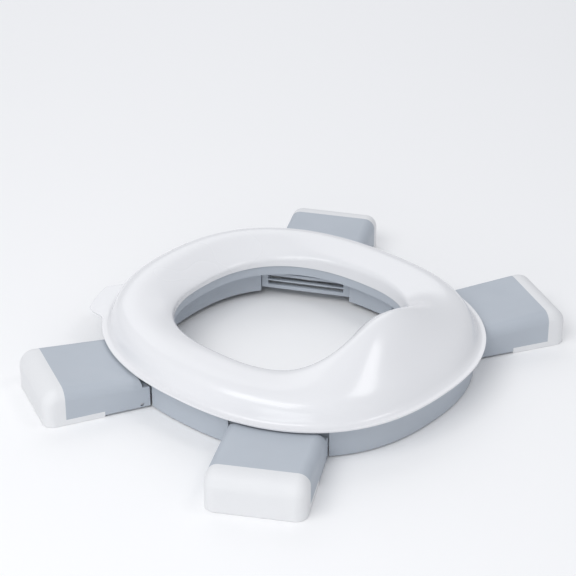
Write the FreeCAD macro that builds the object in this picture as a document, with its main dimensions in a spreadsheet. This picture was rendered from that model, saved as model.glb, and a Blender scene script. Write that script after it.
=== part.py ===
"""Folding potty seat with splash guard: seat shell, base ring and four fold-out legs.

Frame: +Z up, front (splash guard) towards -Y, origin at the middle of the bounding box's bottom face.
The legs lie flat at rest, fold down 90 degrees to stand and 180 degrees to store.
"""
import FreeCAD, Part
import math
import os
from FreeCAD import Placement, Rotation, Vector

doc = FreeCAD.newDocument("PottySeat")
sheet = doc.addObject("Spreadsheet::Sheet", "Dims")

DIMENSIONS = [
    # the oval plan of the ring, measured from the widest point
    ("seat_half_width", 130.0),
    ("seat_front", 138.9),
    ("seat_rear", 148.5),
    ("seat_power", 2.35),
    ("hole_half_width", 81.0),
    ("hole_front", 76.0),
    ("hole_rear", 93.3),
    ("hole_power", 2.4),
    ("centre_shift", -7.2),
    # seat shell
    ("rim_bottom", 25.8),
    ("rim_thick", 1.9),
    ("rim_lip", 3.8),
    ("skin", 2.8),
    ("hole_edge", 31.3),
    ("crest_side", 45.0),
    ("crest_rear", 49.0),
    ("guard_top", 69.0),
    ("tab_reach", 13.0),
    ("tab_turn", 23.5),
    ("tab_width", 10.5),
    # base ring
    ("base_bottom", 1.0),
    ("wall_inset", 8.3),
    ("wall_thick", 2.6),
    ("deck_bottom", 22.9),
    ("deck_thick", 2.2),
    ("collar_bottom", 22.9),
    ("collar_top", 31.0),
    ("collar_inset", 1.2),
    ("liner_inset", 9.5),
    ("liner_thick", 3.0),
    ("liner_bottom", 4.5),
    # legs, along each leg from its hinge axis
    ("hinge_front_x", 108.5),
    ("hinge_front_y", -73.9),
    ("hinge_front_turn", -29.3),
    ("hinge_rear_x", 109.7),
    ("hinge_rear_y", 72.6),
    ("hinge_rear_turn", 26.6),
    ("hinge_height", 3.5),
    ("leg_reach", 73.5),
    ("leg_inner", -18.0),
    ("leg_width", 71.6),
    ("leg_top_inner", 22.6),
    ("leg_top_outer", 29.8),
    ("leg_belly", 1.5),
    ("leg_round", 8.5),
    ("leg_crown", 12.0),
    ("leg_wall", 3.0),
    ("foot_cap", 15.9),
    ("foot_sole", 45.0),
    ("foot_strip", 4.5),
    # hinge parts
    ("channel_width", 73.0),
    ("channel_top", 21.0),
    ("housing_width", 72.0),
    ("housing_bottom", 7.4),
    ("housing_inner", -38.5),
    ("housing_wall", 2.5),
    ("slot_width", 62.0),
    ("slot_height", 3.4),
    ("slot_low", 10.4),
    ("slot_high", 15.0),
    ("lug_width", 8.0),
    ("lug_offset", 20.0),
    ("lug_slot_reach", 12.5),
    ("lug_slot_top", 16.0),
    ("lug_slot_gap", 0.4),
    ("pin_radius", 1.5),
    ("pin_length", 69.0),
    ("pin_clearance", 0.08),
    ("screw_offset", 30.0),
    ("screw_back", 20.0),
    ("screw_start", 18.2),
    ("fit_gap", 0.2),
]
for row, (alias, value) in enumerate(DIMENSIONS, 1):
    sheet.set(f"A{row}", alias)
    sheet.set(f"B{row}", str(value))
    sheet.setAlias(f"B{row}", alias)
doc.recompute()


def dim(alias):
    return float(sheet.get(alias))


def bind(thing, **sizes):
    for name, expression in sizes.items():
        thing.setExpression(name, expression)
    return thing


NODES = []


def node(thing, label):
    thing.Label = label
    NODES.append(thing)
    return thing


# ---------------------------------------------------------------- the oval plan
def oval_radius(turn, half_width, front, rear, power):
    """Distance from the ring's centre to a superellipse, at a turn in radians from +X."""
    length = front if math.sin(turn) < 0 else rear
    along_x = abs(math.cos(turn) / half_width) ** power
    along_y = abs(math.sin(turn) / length) ** power
    return (along_x + along_y) ** (-1 / power)


def rim_radius(turn, inset=0.0):
    return oval_radius(turn, dim("seat_half_width") - inset, dim("seat_front") - inset,
                       dim("seat_rear") - inset, dim("seat_power"))


def hole_radius(turn, outset=0.0):
    return oval_radius(turn, dim("hole_half_width") + outset, dim("hole_front") + outset,
                       dim("hole_rear") + outset, dim("hole_power"))


def on_plan(turn, radius, height):
    return Vector(radius * math.cos(turn), radius * math.sin(turn) + dim("centre_shift"), height)


def oval_prism(name, radius_at, bottom, height, points=72):
    """An upright prism on an oval outline: bottom and height are expressions of the sheet."""
    turns = [2 * math.pi * step / points for step in range(points)]
    curve = Part.BSplineCurve()
    curve.interpolate([on_plan(turn, radius_at(turn), 0) for turn in turns], PeriodicFlag=True)
    outline = doc.addObject("Part::Feature", name + "_outline")
    outline.Shape = Part.Wire(curve.toShape())
    prism = doc.addObject("Part::Extrusion", name)
    prism.Base = outline
    prism.DirMode = "Custom"
    prism.Dir = Vector(0, 0, 1)
    prism.Solid = True
    prism.setExpression("LengthFwd", height)
    prism.setExpression("Placement.Base.z", bottom)
    return prism


def cut(name, base, tool):
    result = doc.addObject("Part::Cut", name)
    result.Base = base
    result.Tool = tool
    return result


def common(name, base, tool):
    result = doc.addObject("Part::Common", name)
    result.Base = base
    result.Tool = tool
    return result


def fuse(name, shapes):
    result = doc.addObject("Part::MultiFuse", name)
    result.Shapes = shapes
    return result


def bell(angle, width):
    """1 at zero, falling smoothly to 0 at plus or minus width."""
    share = min(1.0, abs(angle) / width)
    return 0.5 + 0.5 * math.cos(math.pi * share)


def turn_between(one, other):
    """Smallest difference of two turns in degrees."""
    return abs((one - other + 180) % 360 - 180)


# ---------------------------------------------------------------- seat shell
def tab_bulge(turn):
    """How far the rim stands out at the two finger tabs beside the rear end."""
    degrees = math.degrees(turn)
    nearest = min(turn_between(degrees, 90 - dim("tab_turn")), turn_between(degrees, 90 + dim("tab_turn")))
    share = max(0.0, min(1.0, (dim("tab_width") - nearest) / 4.0))
    return dim("tab_reach") * share * share * (3 - 2 * share)


def seat_section(turn):
    """Half section of the seat's top at a turn: pairs of (radius, height) from the rim to the hole."""
    rim = rim_radius(turn)
    hole = hole_radius(turn)
    width = rim - hole
    degrees = math.degrees(turn)
    to_front = turn_between(degrees, 270)
    to_rear = turn_between(degrees, 90)
    guard = bell(to_front, 62) ** 1.1
    rear = bell(to_rear, 100)
    lip_top = dim("rim_bottom") + dim("rim_thick")
    crest = dim("crest_side") + (dim("crest_rear") - dim("crest_side")) * rear
    rise = crest - lip_top
    low = [  # share of the width inwards, share of the rise
        (0.115, 0.10), (0.15, 0.52), (0.22, 0.84), (0.33, 1.0), (0.47, 1.07),
        (0.62, 1.03 - 0.13 * rear), (0.78, 1.0 - 0.30 * rear), (0.93, 0.93 - 0.42 * rear),
        (1.0, 0.80 - 0.42 * rear), (1.0, 0.42 - 0.10 * rear),
    ]
    high = [  # the same points on the splash guard
        (0.115, 0.05), (0.16, 0.14), (0.25, 0.29), (0.38, 0.46), (0.54, 0.69),
        (0.70, 0.90), (0.85, 1.04), (0.99, 0.95), (1.16, 0.78), (1.14, 0.50),
    ]
    guard_rise = dim("guard_top") - lip_top
    points = [(rim + tab_bulge(turn), lip_top), (rim + 0.7 * tab_bulge(turn) - 1.5, lip_top + 0.1),
              (rim - dim("rim_lip"), lip_top)]
    for (share, lift), (guard_share, guard_lift) in zip(low, high):
        inward = share + (guard_share - share) * guard ** (2.2 if guard_share > 1 else 1)
        height = rise * lift + (guard_rise * guard_lift - rise * lift) * guard
        points.append((rim - inward * width, lip_top + height))
    points.append((hole, dim("hole_edge")))
    return points


def under_section(turn):
    """The hollow underside: the top section moved inwards by the skin."""
    top = seat_section(turn)
    skin = dim("skin")
    points = [(top[0][0], dim("rim_bottom")), (top[1][0], dim("rim_bottom")),
              (top[2][0] - skin, dim("rim_bottom"))]
    for before, here, after in zip(top[2:-2], top[3:-1], top[4:]):
        along = (after[0] - before[0], after[1] - before[1])
        length = math.hypot(*along)
        points.append((here[0] - skin * along[1] / length, here[1] + skin * along[0] / length))
    points[-1] = (top[-1][0] + skin, max(points[-1][1] - skin, dim("hole_edge") + skin))
    points.append((top[-1][0] + skin, dim("hole_edge")))
    return points


def ring_surface(section_at, turns):
    """A smooth surface, closed around the ring, whose control net is the sections."""
    net = [[on_plan(turn, radius, height) for radius, height in section_at(turn)] for turn in turns]
    across = len(net[0])
    around = len(net)
    surface = Part.BSplineSurface()
    surface.buildFromPolesMultsKnots(
        net, [1] * (around + 1), [4] + [1] * (across - 4) + [4],
        list(range(around + 1)), list(range(across - 2)), True, False, 3, 3)
    return surface


def make_seat_shell():
    turns = [2 * math.pi * step / 96 for step in range(96)]
    top = ring_surface(seat_section, turns)
    under = ring_surface(under_section, turns)
    _, _, first, last = top.bounds()
    edges = [(top.vIso(value).toShape(), under.vIso(value).toShape()) for value in (first, last)]
    faces = [top.toShape(), under.toShape()] + [Part.makeRuledSurface(a, b) for a, b in edges]
    sewn = Part.makeCompound(faces)
    sewn.sewShape(0.001)
    solid = Part.Solid(sewn.Shells[0])
    if solid.Volume < 0:
        solid.reverse()
    shell = doc.addObject("Part::Feature", "SeatShell")
    shell.Shape = solid
    return node(shell, "seat_shell")


# ---------------------------------------------------------------- legs and hinges
def leg_place(name):
    """Placement of a leg's own frame: origin below its hinge axis, X outwards along the leg."""
    end, side = name.split("_")
    x = dim(f"hinge_{end}_x")
    y = dim(f"hinge_{end}_y")
    turn = dim(f"hinge_{end}_turn")
    if side == "left":
        x = -x
        turn = 180 - turn
    return Placement(Vector(x, y + dim("centre_shift"), 0), Rotation(Vector(0, 0, 1), turn))


LEGS = ["front_left", "front_right", "rear_left", "rear_right"]


def block(name, place, low, high):
    """A box in a leg's frame between two corners, each given as three expressions of the sheet."""
    box = doc.addObject("Part::Box", name)
    for size, one, other in zip(("Length", "Width", "Height"), low, high):
        box.setExpression(size, f"({other}) - ({one})")
    corner = Vector(*[sheet_value(expression) for expression in low])
    box.Placement = place * Placement(corner, Rotation())
    return box


def sheet_value(expression):
    """The value of an expression of the sheet."""
    return float(sheet.evalExpression(expression))


def side_profile_body(name, place, points, width, rounds=()):
    """A PartDesign body: a closed side view in the XZ plane, padded evenly to both sides.

    Each of the rounds is a radius and a test that picks the edges it is laid on.
    """
    body = doc.addObject("PartDesign::Body", name)
    sketch = body.newObject("Sketcher::SketchObject", name + "_side")
    plane = [item for item in body.Origin.OriginFeatures if item.Role == "XZ_Plane"][0]
    sketch.AttachmentSupport = (plane, [""])
    sketch.MapMode = "FlatFace"
    corners = [Vector(x, z, 0) for x, z in points]
    for start, end in zip(corners, corners[1:] + corners[:1]):
        sketch.addGeometry(Part.LineSegment(start, end))
    pad = body.newObject("PartDesign::Pad", name + "_pad")
    pad.Profile = sketch
    pad.SideType = "Symmetric"
    pad.setExpression("Length", width)
    body.recompute(True)
    shaped = pad
    for number, (radius, is_rounded) in enumerate(rounds, 1):
        picked = [f"Edge{index}" for index, edge in enumerate(shaped.Shape.Edges, 1) if is_rounded(edge)]
        fillet = body.newObject("PartDesign::Fillet", f"{name}_round_{number}")
        fillet.Base = (shaped, picked)
        fillet.setExpression("Radius", radius)
        body.recompute(True)
        shaped = fillet
    body.Placement = place
    return body


def drill(name, place, offset, radius, length, height):
    """A cylinder along a leg's hinge axis, centred sideways on offset."""
    rod = doc.addObject("Part::Cylinder", name)
    bind(rod, Radius=radius, Height=length)
    across = Placement(Vector(0, offset - sheet_value(length) / 2, height), Rotation(Vector(1, 0, 0), -90))
    rod.Placement = place * across
    return rod


def lug_slots(name, place):
    """The two slots in a leg's inner end that clear the housing's lugs through the whole fold."""
    slots = []
    for side in (-1, 1):
        middle = f"{side} * Dims.lug_offset"
        half = "(Dims.lug_width / 2 + Dims.lug_slot_gap)"
        slots.append(block(f"{name}_slot_{'a' if side < 0 else 'b'}", place,
                           ("Dims.leg_inner - 4", f"{middle} - {half}", "-1"),
                           ("Dims.lug_slot_reach", f"{middle} + {half}", "Dims.lug_slot_top")))
    return slots


def make_leg(name, clear_wall, clear_top):
    place = leg_place(name)
    reach = dim("leg_reach")
    inner = dim("leg_inner")
    top_inner = dim("leg_top_inner")
    top_outer = dim("leg_top_outer")
    half = dim("leg_width") / 2

    def is_crown(edge):
        """The edge across the top of the outer end."""
        box = edge.BoundBox
        return box.XMin > reach - 1 and box.ZMin > top_outer - 1

    def is_shoulder(edge):
        """The top and the outer upright edges, on both sides."""
        middle = edge.BoundBox.Center
        lengthways = abs(abs(middle.y) - half) < 0.01
        return lengthways and middle.z > 1 and middle.x > inner + 1

    outer = [(inner, 0), (inner, top_inner), (reach, top_outer), (reach, 0)]
    form = side_profile_body(f"leg_form_{name}", place, outer, "Dims.leg_width",
                             [("Dims.leg_crown", is_crown), ("Dims.leg_round", is_shoulder)])
    foot_end = block(f"foot_end_{name}", place,
                     ("Dims.leg_reach - Dims.foot_cap", "-50", "-1"), ("Dims.leg_reach + 5", "50", "40"))
    foot_sole = block(f"foot_sole_{name}", place,
                      ("Dims.leg_reach - Dims.foot_sole", "-50", "-1"),
                      ("Dims.leg_reach + 5", "50", "Dims.foot_strip"))
    foot_zone = fuse(f"foot_zone_{name}", [foot_end, foot_sole])
    wall = dim("leg_wall")
    hollow = [(13, wall), (13, top_inner - 2), (reach - 12, top_outer - 2 - wall),
              (reach - 4.5, top_outer - 9 - wall), (reach - wall, top_outer - 14 - wall), (reach - wall, wall)]
    core = side_profile_body(f"leg_core_{name}", place, hollow, "Dims.leg_width - 2 * Dims.leg_wall - 1")

    foot = cut(f"Foot_{name}", common(f"foot_form_{name}", form, foot_zone), core)
    belly = block(f"belly_{name}", place, ("Dims.leg_inner - 1", "-50", "-1"),
                  ("Dims.leg_reach - Dims.foot_sole", "50", "Dims.leg_belly"))
    bore = drill(f"bore_{name}", place, 0, "Dims.pin_radius + Dims.pin_clearance", "Dims.leg_width + 2",
                 dim("hinge_height"))
    removed = fuse(f"leg_removed_{name}",
                   [foot_zone, core, belly, bore, clear_wall, clear_top] + lug_slots(f"lug_{name}", place))
    shell = cut(f"Leg_{name}", form, removed)
    return node(shell, f"leg_shell_{name}"), node(foot, f"leg_foot_{name}")


def make_housing(name, inside_wall):
    """Hinge housing: a trough across the ring, slotted at its inner face, with two pin lugs."""
    place = leg_place(name)
    half = "Dims.housing_width / 2"
    wall = "Dims.housing_wall"
    body = block(f"housing_body_{name}", place,
                 ("Dims.housing_inner + 10", f"-{half}", "Dims.housing_bottom"),
                 ("-3", half, "Dims.deck_bottom"))
    face = block(f"housing_face_{name}", place,
                 ("Dims.housing_inner", f"-{half}", "Dims.housing_bottom"),
                 ("Dims.housing_inner + 10", half, "Dims.channel_top - Dims.fit_gap"))
    trimmed = common(f"housing_trimmed_{name}", fuse(f"housing_raw_{name}", [body, face]), inside_wall)
    trough = block(f"housing_trough_{name}", place,
                   (f"Dims.housing_inner + {wall}", f"-{half} + {wall}", "Dims.housing_bottom - 1"),
                   ("-14", f"{half} - {wall}", f"Dims.channel_top - Dims.fit_gap - {wall}"))
    cuts = [trough]
    for level in ("low", "high"):
        bottom = f"Dims.slot_{level}"
        cuts.append(block(f"housing_slot_{level}_{name}", place,
                          ("Dims.housing_inner - 5", "-Dims.slot_width / 2", bottom),
                          (f"Dims.housing_inner + {wall} + 1", "Dims.slot_width / 2",
                           f"{bottom} + Dims.slot_height")))
    for side in (-1, 1):
        cuts.append(screw_rod(f"screw_hole_{'a' if side < 0 else 'b'}_{name}", place, side,
                              "Dims.pin_radius + Dims.fit_gap / 2", "Dims.housing_bottom", "20"))
    hollowed = cut(f"housing_hollow_{name}", trimmed, fuse(f"housing_cuts_{name}", cuts))
    lug_side = [(-16, 8), (-16, 15), (-6, 15), (2.6, 5.7), (3.4, 3.5), (2.4, 1.1), (0, 0.1), (-2.4, 1.1)]
    lugs = []
    for side in (-1, 1):
        shift = Placement(Vector(0, side * dim("lug_offset"), 0), Rotation())
        lugs.append(side_profile_body(f"lug_{'a' if side < 0 else 'b'}_{name}", place * shift, lug_side,
                                      "Dims.lug_width"))
    pin_hole = drill(f"pin_hole_{name}", place, 0, "Dims.pin_radius", "Dims.leg_width", dim("hinge_height"))
    whole = fuse(f"housing_whole_{name}", [hollowed] + lugs)
    return node(cut(f"Housing_{name}", whole, pin_hole), f"hinge_housing_{name}")


def screw_rod(name, place, side, radius, bottom, length):
    """An upright rod at one of the housing's two screw places."""
    rod = doc.addObject("Part::Cylinder", name)
    bind(rod, Radius=radius, Height=length)
    spot = Vector(-dim("screw_back"), side * dim("screw_offset"), sheet_value(bottom))
    rod.Placement = place * Placement(spot, Rotation())
    return rod


def make_pin(name):
    pin = drill(f"Pin_{name}", leg_place(name), 0, "Dims.pin_radius", "Dims.pin_length", dim("hinge_height"))
    return node(pin, f"hinge_pin_{name}")


def make_spring(name):
    """Leaf spring under the housing's roof, the leg's click stop."""
    leaf = [(-33, 14.9), (-33, 15.7), (-20, 15.7), (-17, 12.8), (-14.8, 15.3), (-14.8, 14.1), (-17, 11.6),
            (-20.6, 14.9)]
    body = side_profile_body(f"Spring_{name}", leg_place(name), leaf, "Dims.lug_width")
    return node(body, f"click_spring_{name}")


def make_screws():
    rods = []
    for name in LEGS:
        for side in (-1, 1):
            tag = f"{'a' if side < 0 else 'b'}_{name}"
            rods.append(screw_rod(f"shank_{tag}", leg_place(name), side, "Dims.pin_radius",
                                  "Dims.screw_start", "6.0"))
            rods.append(screw_rod(f"head_{tag}", leg_place(name), side, "2 * Dims.pin_radius",
                                  "Dims.channel_top - 5", "2.2"))
    return node(fuse("HousingScrews", rods), "housing_screws")


# ---------------------------------------------------------------- base ring
def make_base_ring():
    inset = dim("wall_inset")
    thick = dim("wall_thick")
    outer = oval_prism("wall_outer", lambda turn: rim_radius(turn, inset),
                       "Dims.base_bottom", "Dims.deck_bottom + Dims.deck_thick - Dims.base_bottom")
    cavity = oval_prism("wall_cavity", lambda turn: rim_radius(turn, inset + thick),
                        "Dims.base_bottom - 1", "Dims.deck_bottom - Dims.base_bottom + 1")
    hole = oval_prism("collar_hole", lambda turn: hole_radius(turn, dim("collar_inset")), "-5", "50")
    collar = oval_prism("collar_outer", lambda turn: hole_radius(turn, dim("collar_inset") + 3.0),
                        "Dims.collar_bottom", "Dims.collar_top - Dims.collar_bottom")
    liner = oval_prism("liner_outer",
                       lambda turn: hole_radius(turn, dim("liner_inset") + dim("liner_thick")),
                       "Dims.liner_bottom", "Dims.deck_bottom + 1 - Dims.liner_bottom")
    liner_hole = oval_prism("liner_hole", lambda turn: hole_radius(turn, dim("liner_inset")),
                            "-5", "Dims.collar_bottom + 5.5")
    shell = cut("base_shell", outer, cavity)
    rings = fuse("base_rings", [shell, collar, liner])
    tools = [hole, liner_hole]
    half = "Dims.channel_width / 2"
    for name in LEGS:
        tools.append(block(f"channel_{name}", leg_place(name), ("-60", f"-{half}", "-1"),
                           ("20", half, "Dims.channel_top")))
        for side in (-1, 1):
            tools.append(screw_rod(f"pilot_{'a' if side < 0 else 'b'}_{name}", leg_place(name), side,
                                   "Dims.pin_radius", "Dims.screw_start", "6.2"))
    return node(cut("BaseRing", rings, fuse("base_tools", tools)), "base_ring")


# ---------------------------------------------------------------- the whole seat
make_seat_shell()
make_base_ring()
inset = dim("wall_inset")
wall_clear = oval_prism("leg_wall_clear", lambda turn: rim_radius(turn, inset - 1.0), "-5", "60")
top_clear = oval_prism("leg_top_clear", lambda turn: rim_radius(turn, inset - 6.0), "17.5", "30")
wall_inside = oval_prism("housing_limit", lambda turn: rim_radius(turn, inset + dim("wall_thick") + 0.1),
                         "-5", "60")
for leg in LEGS:
    make_leg(leg, wall_clear, top_clear)
    make_housing(leg, wall_inside)
    make_pin(leg)
    make_spring(leg)
make_screws()
doc.recompute()

failed = [item.Name for item in doc.Objects if "Invalid" in item.State or "Error" in item.State]
if failed:
    raise RuntimeError(f"failed features: {failed}")
os.makedirs("parts", exist_ok=True)
for item in NODES:
    shape = item.Shape
    if shape.isNull() or not shape.isValid():
        raise RuntimeError(f"{item.Label} is not a valid shape")
    print(f"{item.Label}: {len(shape.Solids)} solid(s), {shape.Volume / 1000:.1f} cm3, "
          f"z {shape.BoundBox.ZMin:.2f} to {shape.BoundBox.ZMax:.2f}")
    shape.exportStep(f"parts/{item.Label}.step")
whole = Part.makeCompound([item.Shape for item in NODES]).BoundBox
print(f"box x {whole.XMin:.1f} {whole.XMax:.1f}, y {whole.YMin:.2f} {whole.YMax:.2f}, "
      f"z {whole.ZMin:.2f} {whole.ZMax:.2f}")
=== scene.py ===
"""Folding potty training seat: gloss seat shell, matte ring and four fold-out legs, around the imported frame."""
import math
import bmesh
import bpy
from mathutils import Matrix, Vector


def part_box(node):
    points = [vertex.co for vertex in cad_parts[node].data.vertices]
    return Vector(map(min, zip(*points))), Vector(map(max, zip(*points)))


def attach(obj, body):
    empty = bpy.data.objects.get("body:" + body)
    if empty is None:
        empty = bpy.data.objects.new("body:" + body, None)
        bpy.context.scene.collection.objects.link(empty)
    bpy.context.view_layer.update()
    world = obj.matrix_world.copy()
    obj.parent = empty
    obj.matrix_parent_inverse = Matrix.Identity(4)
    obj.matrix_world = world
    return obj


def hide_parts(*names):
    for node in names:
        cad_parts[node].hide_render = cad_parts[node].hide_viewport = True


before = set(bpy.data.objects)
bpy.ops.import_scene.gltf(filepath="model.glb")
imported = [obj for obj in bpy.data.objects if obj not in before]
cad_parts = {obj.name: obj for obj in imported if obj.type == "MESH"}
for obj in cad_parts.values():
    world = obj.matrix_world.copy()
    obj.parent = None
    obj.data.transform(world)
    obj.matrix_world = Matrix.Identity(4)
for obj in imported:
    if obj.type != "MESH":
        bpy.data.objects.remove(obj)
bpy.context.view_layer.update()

MM = 0.001
LEGS = ["front_left", "front_right", "rear_left", "rear_right"]
SEAT_LOW, SEAT_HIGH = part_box("seat_shell")

# the seat's oval plan, in millimetres from its widest point
HALF_WIDTH = (SEAT_HIGH[0] - SEAT_LOW[0]) / 2 / MM
FRONT, REAR = 138.9, 148.5
HOLE_HALF_WIDTH, HOLE_FRONT, HOLE_REAR = 81.0, 76.0, 93.3
RIM_POWER, HOLE_POWER = 2.35, 2.4
CENTRE_Y = SEAT_LOW[1] / MM + FRONT

# the seat's section
RIM_BOTTOM, RIM_THICK, RIM_LIP = 25.8, 1.9, 3.8
HOLE_EDGE, SKIN = 31.3, 2.8
CREST_SIDE, CREST_REAR, GUARD_TOP = 45.0, 49.0, 69.0
TAB_REACH, TAB_TURN, TAB_WIDTH, TAB_BLEND = 13.0, 23.5, 10.5, 4.0

# how far round the seat, in degrees, the guard and the raised rear spread to each side
GUARD_SPREAD, GUARD_POWER, OVERHANG_POWER = 62, 1.1, 2.2
REAR_SPREAD = 100
SEAT_STEPS = 192

# the guard's section: shares of the width inwards and of the rise
GUARD_SECTION = [
    (0.115, 0.05), (0.16, 0.14), (0.25, 0.29), (0.38, 0.46), (0.54, 0.69),
    (0.71, 0.92), (0.88, 1.06), (0.96, 1.01), (1.16, 0.78), (1.14, 0.50),
]

FLOOR_SIZE, FLOOR_DROP = 6.0, 0.0002


# ---------------------------------------------------------------- materials
def new_material(name, colour, roughness):
    material = bpy.data.materials.new(name)
    material.use_nodes = True
    shader = material.node_tree.nodes["Principled BSDF"]
    shader.inputs["Base Color"].default_value = (*colour, 1)
    shader.inputs["Roughness"].default_value = roughness
    return material, shader


def noise(material, scale, detail=4.0):
    nodes, links = material.node_tree.nodes, material.node_tree.links
    place = nodes.new("ShaderNodeTexCoord")
    texture = nodes.new("ShaderNodeTexNoise")
    texture.inputs["Scale"].default_value = scale
    texture.inputs["Detail"].default_value = detail
    links.new(place.outputs["Object"], texture.inputs["Vector"])
    return texture.outputs["Fac"]


def vary(material, source, low, high, socket):
    """Maps a texture value to a range and feeds it to a shader socket."""
    nodes, links = material.node_tree.nodes, material.node_tree.links
    spread = nodes.new("ShaderNodeMapRange")
    spread.inputs["From Min"].default_value = 0.3
    spread.inputs["From Max"].default_value = 0.7
    spread.inputs["To Min"].default_value = low
    spread.inputs["To Max"].default_value = high
    links.new(source, spread.inputs["Value"])
    links.new(spread.outputs["Result"], socket)


def tint(material, source, dark, light, socket):
    """Blends two colours by a texture value."""
    nodes, links = material.node_tree.nodes, material.node_tree.links
    ramp = nodes.new("ShaderNodeValToRGB")
    ramp.color_ramp.elements[0].position = 0.35
    ramp.color_ramp.elements[0].color = (*dark, 1)
    ramp.color_ramp.elements[1].position = 0.65
    ramp.color_ramp.elements[1].color = (*light, 1)
    links.new(source, ramp.inputs["Fac"])
    links.new(ramp.outputs["Color"], socket)


def bump(material, shader, source, strength, distance):
    nodes, links = material.node_tree.nodes, material.node_tree.links
    relief = nodes.new("ShaderNodeBump")
    relief.inputs["Strength"].default_value = strength
    relief.inputs["Distance"].default_value = distance
    links.new(source, relief.inputs["Height"])
    links.new(relief.outputs["Normal"], shader.inputs["Normal"])


def seat_white():
    """Glossy injection-moulded white: clear reflections with a faint long wave in the surface."""
    material, shader = new_material("seat_white", (0.80, 0.803, 0.818), 0.24)
    shader.inputs["Coat Weight"].default_value = 0.22
    shader.inputs["Coat Roughness"].default_value = 0.1
    broad = noise(material, 9.0, 2.0)
    vary(material, broad, 0.21, 0.28, shader.inputs["Roughness"])
    tint(material, broad, (0.79, 0.793, 0.809), (0.81, 0.813, 0.828), shader.inputs["Base Color"])
    bump(material, shader, noise(material, 26.0, 1.0), 0.06, 0.0004)
    return material


def grey_plastic():
    """Blue-grey plastic with a fine spark-eroded mould texture."""
    material, shader = new_material("grey_plastic", (0.45, 0.49, 0.54), 0.5)
    broad = noise(material, 14.0, 3.0)
    tint(material, broad, (0.44, 0.48, 0.53), (0.462, 0.503, 0.555), shader.inputs["Base Color"])
    vary(material, noise(material, 60.0), 0.46, 0.56, shader.inputs["Roughness"])
    bump(material, shader, noise(material, 1600.0, 2.0), 0.12, 0.00012)
    return material


def foot_soft():
    """Soft white elastomer: dull, slightly cool, with a fine grain."""
    material, shader = new_material("foot_soft", (0.765, 0.77, 0.78), 0.55)
    broad = noise(material, 18.0, 3.0)
    tint(material, broad, (0.75, 0.756, 0.767), (0.77, 0.775, 0.784), shader.inputs["Base Color"])
    vary(material, noise(material, 80.0), 0.5, 0.62, shader.inputs["Roughness"])
    bump(material, shader, noise(material, 1200.0, 2.0), 0.10, 0.00012)
    return material


def steel():
    """Plain steel of the pins, springs and screws, unevenly polished."""
    material, shader = new_material("steel", (0.56, 0.56, 0.57), 0.32)
    shader.inputs["Metallic"].default_value = 1.0
    vary(material, noise(material, 400.0), 0.26, 0.42, shader.inputs["Roughness"])
    bump(material, shader, noise(material, 900.0), 0.05, 0.00005)
    return material


MATERIALS = {"seat_white": seat_white(), "grey_plastic": grey_plastic(),
             "foot_soft": foot_soft(), "steel": steel()}


def finish_node(name, material):
    """A CAD node that keeps its own mesh gets its material."""
    thing = bpy.data.objects[name]
    thing.data.materials.clear()
    thing.data.materials.append(MATERIALS[material])


# ---------------------------------------------------------------- seat shell
def oval_radius(turn, half_width, front, rear, power):
    length = front if math.sin(turn) < 0 else rear
    return (abs(math.cos(turn) / half_width) ** power + abs(math.sin(turn) / length) ** power) ** (-1 / power)


def bell(angle, width):
    share = min(1.0, abs(angle) / width)
    return 0.5 + 0.5 * math.cos(math.pi * share)


def turn_between(one, other):
    return abs((one - other + 180) % 360 - 180)


def tab_bulge(turn):
    """How far the rim stands out at the two finger tabs beside the rear end."""
    degrees = math.degrees(turn)
    nearest = min(turn_between(degrees, 90 - TAB_TURN), turn_between(degrees, 90 + TAB_TURN))
    share = max(0.0, min(1.0, (TAB_WIDTH - nearest) / TAB_BLEND))
    return TAB_REACH * share * share * (3 - 2 * share)


def seat_section(turn):
    """The seat's top from the rim to the hole at a turn, as (radius, height) in millimetres."""
    rim = oval_radius(turn, HALF_WIDTH, FRONT, REAR, RIM_POWER)
    hole = oval_radius(turn, HOLE_HALF_WIDTH, HOLE_FRONT, HOLE_REAR, HOLE_POWER)
    width = rim - hole
    degrees = math.degrees(turn)
    guard = bell(turn_between(degrees, 270), GUARD_SPREAD) ** GUARD_POWER
    rear = bell(turn_between(degrees, 90), REAR_SPREAD)
    lip_top = RIM_BOTTOM + RIM_THICK
    rise = CREST_SIDE + (CREST_REAR - CREST_SIDE) * rear - lip_top
    low = [  # the same shares away from the guard
        (0.115, 0.10), (0.15, 0.52), (0.22, 0.84), (0.33, 1.0), (0.47, 1.07),
        (0.62, 1.03 - 0.13 * rear), (0.78, 1.0 - 0.30 * rear), (0.93, 0.93 - 0.42 * rear),
        (1.0, 0.80 - 0.42 * rear), (1.0, 0.42 - 0.10 * rear),
    ]
    guard_rise = GUARD_TOP - lip_top
    bulge = tab_bulge(turn)
    points = [(rim + bulge, lip_top), (rim + 0.7 * bulge - 1.5, lip_top + 0.1), (rim - RIM_LIP, lip_top)]
    for (share, lift), (guard_share, guard_lift) in zip(low, GUARD_SECTION):
        inward = share + (guard_share - share) * guard ** (OVERHANG_POWER if guard_share > 1 else 1)
        height = rise * lift + (guard_rise * guard_lift - rise * lift) * guard
        points.append((rim - inward * width, lip_top + height))
    points.append((hole, HOLE_EDGE))
    return points


def under_section(top):
    """The hollow underside: the top section moved inwards by the skin."""
    points = [(top[0][0], RIM_BOTTOM), (top[1][0], RIM_BOTTOM), (top[2][0] - SKIN, RIM_BOTTOM)]
    for before, here, after in zip(top[2:-2], top[3:-1], top[4:]):
        along = (after[0] - before[0], after[1] - before[1])
        length = math.hypot(*along)
        points.append((here[0] - SKIN * along[1] / length, here[1] + SKIN * along[0] / length))
    points[-1] = (top[-1][0] + SKIN, max(points[-1][1] - SKIN, HOLE_EDGE + SKIN))
    points.append((top[-1][0] + SKIN, HOLE_EDGE))
    return points


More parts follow.
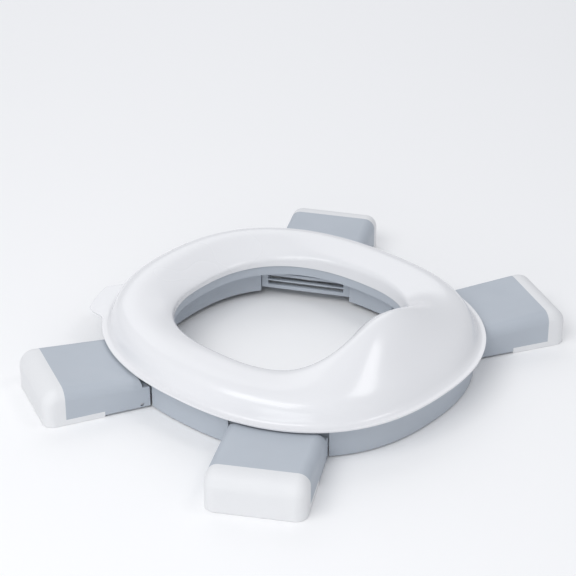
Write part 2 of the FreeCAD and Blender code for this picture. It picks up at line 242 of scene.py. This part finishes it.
def closed_section(turn):
    """The whole section as one loop, with the sharp edges held by doubled points."""
    top = seat_section(turn)
    under = under_section(top)
    return [top[0]] + top + [top[-1], under[-1]] + under[::-1]


def make_seat():
    mesh = bmesh.new()
    rings = []
    for step in range(SEAT_STEPS):
        turn = 2 * math.pi * step / SEAT_STEPS
        rings.append([mesh.verts.new((radius * math.cos(turn) * MM,
                                      (radius * math.sin(turn) + CENTRE_Y) * MM, height * MM))
                      for radius, height in closed_section(turn)])
    across = len(rings[0])
    for step in range(SEAT_STEPS):
        here, there = rings[step], rings[(step + 1) % SEAT_STEPS]
        for index in range(across):
            following = (index + 1) % across
            mesh.faces.new((here[index], there[index], there[following], here[following]))
    bmesh.ops.recalc_face_normals(mesh, faces=mesh.faces)
    data = bpy.data.meshes.new("seat_top")
    mesh.to_mesh(data)
    mesh.free()
    for face in data.polygons:
        face.use_smooth = True
    seat = bpy.data.objects.new("seat_top", data)
    bpy.context.scene.collection.objects.link(seat)
    smooth = seat.modifiers.new("smooth", "SUBSURF")
    smooth.levels = 2
    smooth.render_levels = 2
    data.materials.append(MATERIALS["seat_white"])
    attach(seat, "seat")
    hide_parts("seat_shell")


# ---------------------------------------------------------------- camera, light and floor
def add_camera():
    azimuth, elevation = math.radians(-49.17), math.radians(29.18)
    distance, aside, raised = 1.4512, -0.0067, 0.0547
    back = Vector((math.sin(azimuth) * math.cos(elevation), -math.cos(azimuth) * math.cos(elevation),
                   math.sin(elevation)))
    right = Vector((math.cos(azimuth), math.sin(azimuth), 0))
    upward = back.cross(right)
    camera = bpy.data.objects.new("camera", bpy.data.cameras.new("camera"))
    camera.location = back * distance + right * aside + upward * raised + Vector((0, CENTRE_Y * MM, 0))
    camera.rotation_euler = back.to_track_quat("Z", "Y").to_euler()
    camera.data.lens = 119.0
    camera.data.sensor_width = 36.0
    bpy.context.scene.collection.objects.link(camera)
    bpy.context.scene.camera = camera


def add_area(name, azimuth, elevation, distance, size, power, stretch=1.0):
    """A soft box that looks at the seat from a direction."""
    azimuth, elevation = math.radians(azimuth), math.radians(elevation)
    light = bpy.data.lights.new(name, "AREA")
    light.shape = "RECTANGLE"
    light.size = size
    light.size_y = size * stretch
    light.energy = power
    lamp = bpy.data.objects.new(name, light)
    back = Vector((math.sin(azimuth) * math.cos(elevation), -math.cos(azimuth) * math.cos(elevation),
                   math.sin(elevation)))
    lamp.location = back * distance
    lamp.rotation_euler = back.to_track_quat("Z", "Y").to_euler()
    bpy.context.scene.collection.objects.link(lamp)


def add_light():
    world = bpy.data.worlds.new("studio")
    bpy.context.scene.world = world
    world.use_nodes = True
    world.node_tree.nodes["Background"].inputs["Color"].default_value = (0.93, 0.95, 1.0, 1)
    world.node_tree.nodes["Background"].inputs["Strength"].default_value = 0.58
    add_area("key", -88, 52, 1.6, 1.3, 9.5, 0.6)
    add_area("window", 30, 60, 1.6, 0.30, 1.7, 1.3)
    add_area("low", -66, 14, 1.7, 1.1, 3.8, 0.45)
    add_area("rear", 140, 38, 1.8, 1.6, 5.0, 0.7)


def add_floor():
    mesh = bmesh.new()
    bmesh.ops.create_grid(mesh, x_segments=4, y_segments=4, size=FLOOR_SIZE)
    data = bpy.data.meshes.new("floor")
    mesh.to_mesh(data)
    mesh.free()
    floor = bpy.data.objects.new("floor", data)
    bpy.context.scene.collection.objects.link(floor)
    material, shader = new_material("floor_paper", (0.94, 0.94, 0.942), 0.75)
    vary(material, noise(material, 3.0), 0.7, 0.8, shader.inputs["Roughness"])
    data.materials.append(material)
    floor.location.z = -FLOOR_DROP


make_seat()
finish_node("base_ring", "grey_plastic")
finish_node("housing_screws", "steel")
for leg in LEGS:
    finish_node(f"hinge_housing_{leg}", "grey_plastic")
    finish_node(f"leg_shell_{leg}", "grey_plastic")
    finish_node(f"leg_foot_{leg}", "foot_soft")
    finish_node(f"hinge_pin_{leg}", "steel")
    finish_node(f"click_spring_{leg}", "steel")
add_camera()
add_light()
add_floor()
bpy.context.scene.view_settings.view_transform = "Standard"
